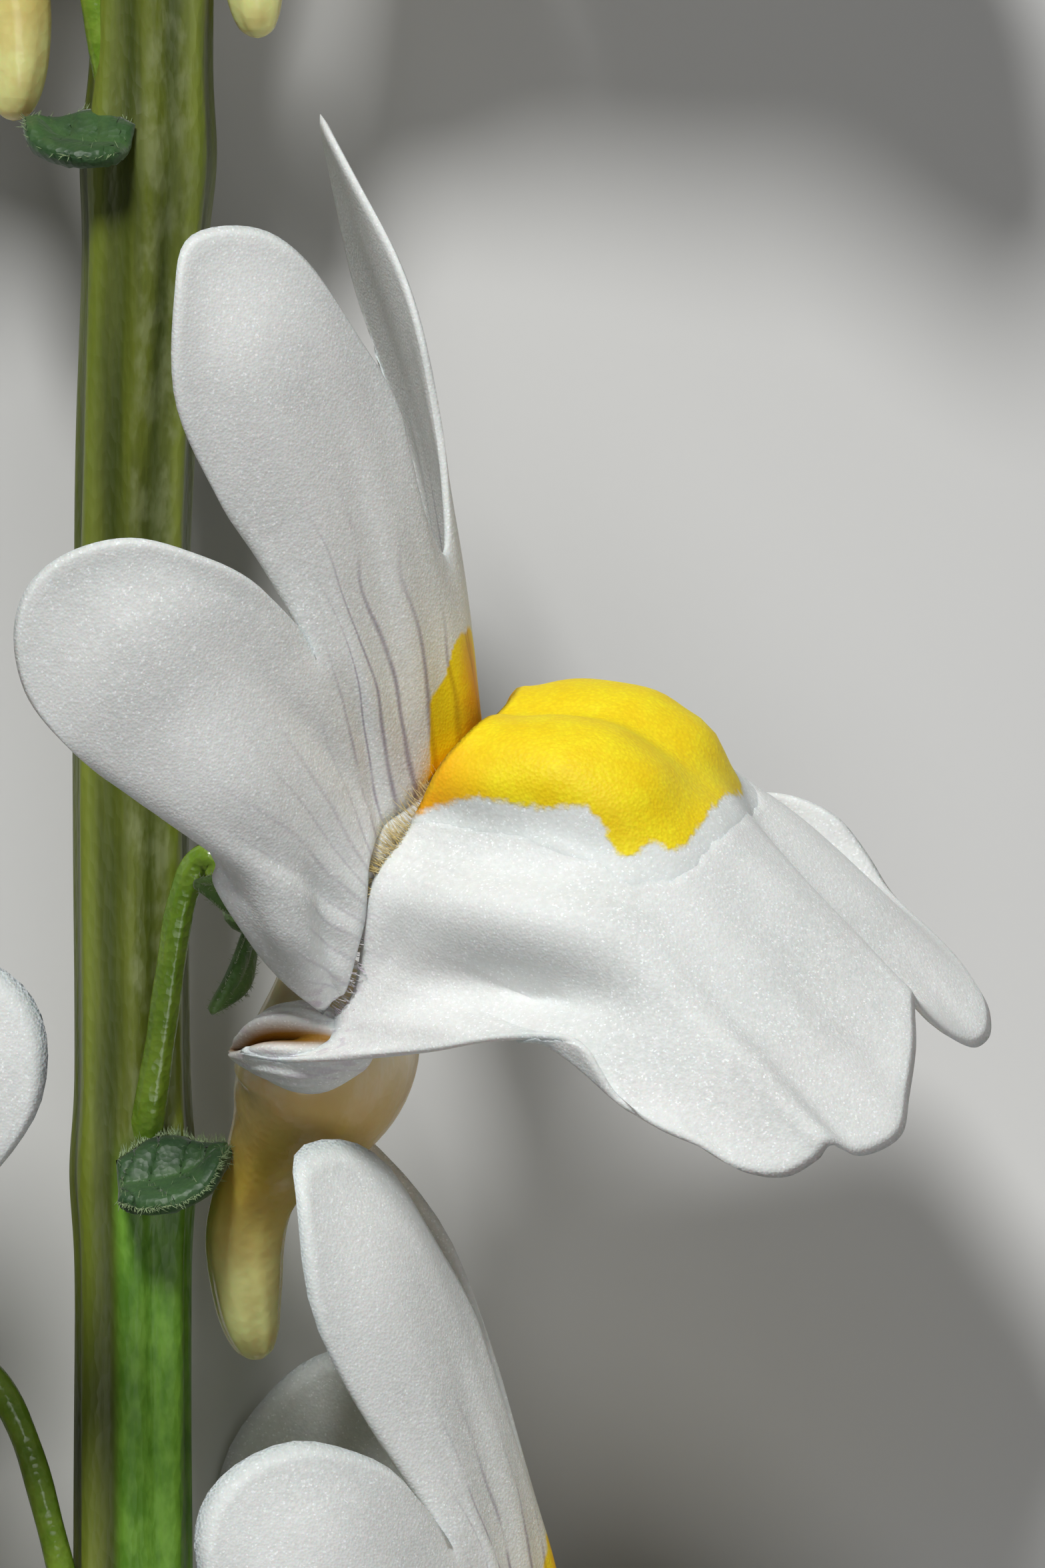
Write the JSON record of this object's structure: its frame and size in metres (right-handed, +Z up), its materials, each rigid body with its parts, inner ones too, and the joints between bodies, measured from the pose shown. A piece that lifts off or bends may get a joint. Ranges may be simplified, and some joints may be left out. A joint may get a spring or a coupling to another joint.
{
  "type": "nemesia stem",
  "caption": "Cut nemesia stem lying on a surface: white two-lipped blooms with yellow palates and short spurs, closed buds and toothed leaves.",
  "frame": {"origin": "middle of the footprint, on the surface that the stem lies on", "axes": "+Y along the stem to its tip, +Z up from the surface, +X to the right of the stem"},
  "size_m": [0.0358, 0.0972, 0.0162],
  "materials": {
    "stem": "olive green, glossy, pale on the ridges",
    "petal": "cool white, finely sparkling",
    "palate": "bright yellow, velvety",
    "spur": "amber to pale yellow, translucent",
    "sepal": "mid green, downy",
    "pedicel": "bright green, glossy",
    "bract": "dark green, hairy margin",
    "bud": "greenish white",
    "leaf": "mid green, satin"
  },
  "bodies": {
    "root": {"stem": "stem", "main_bloom_corolla": "petal", "main_bloom_palate": "palate", "main_bloom_spur": "spur", "main_bloom_calyx": "sepal", "main_bloom_pedicel": "pedicel", "main_bloom_bract": "bract", "upper_left_bloom_corolla": "petal", "upper_left_bloom_palate": "palate", "upper_left_bloom_spur": "spur", "upper_left_bloom_calyx": "sepal", "upper_left_bloom_pedicel": "pedicel", "upper_left_bloom_bract": "bract", "top_right_bloom_corolla": "petal", "top_right_bloom_palate": "palate", "top_right_bloom_spur": "spur", "top_right_bloom_calyx": "sepal", "top_right_bloom_pedicel": "pedicel", "top_right_bloom_bract": "bract", "lower_left_bloom_corolla": "petal", "lower_left_bloom_palate": "palate", "lower_left_bloom_spur": "spur", "lower_left_bloom_calyx": "sepal", "lower_left_bloom_pedicel": "pedicel", "lower_left_bloom_bract": "bract", "lower_right_bloom_corolla": "petal", "lower_right_bloom_palate": "palate", "lower_right_bloom_spur": "spur", "lower_right_bloom_calyx": "sepal", "lower_right_bloom_pedicel": "pedicel", "lower_right_bloom_bract": "bract", "bud_1_petals": "bud", "bud_1_calyx": "sepal", "bud_2_petals": "bud", "bud_2_calyx": "sepal", "bud_3_petals": "bud", "bud_3_calyx": "sepal", "bud_4_petals": "bud", "bud_4_calyx": "sepal", "bud_5_petals": "bud", "bud_5_calyx": "sepal", "tip_buds": "sepal", "leaf_left": "leaf", "leaf_right": "leaf"}
  },
  "joints": []
}
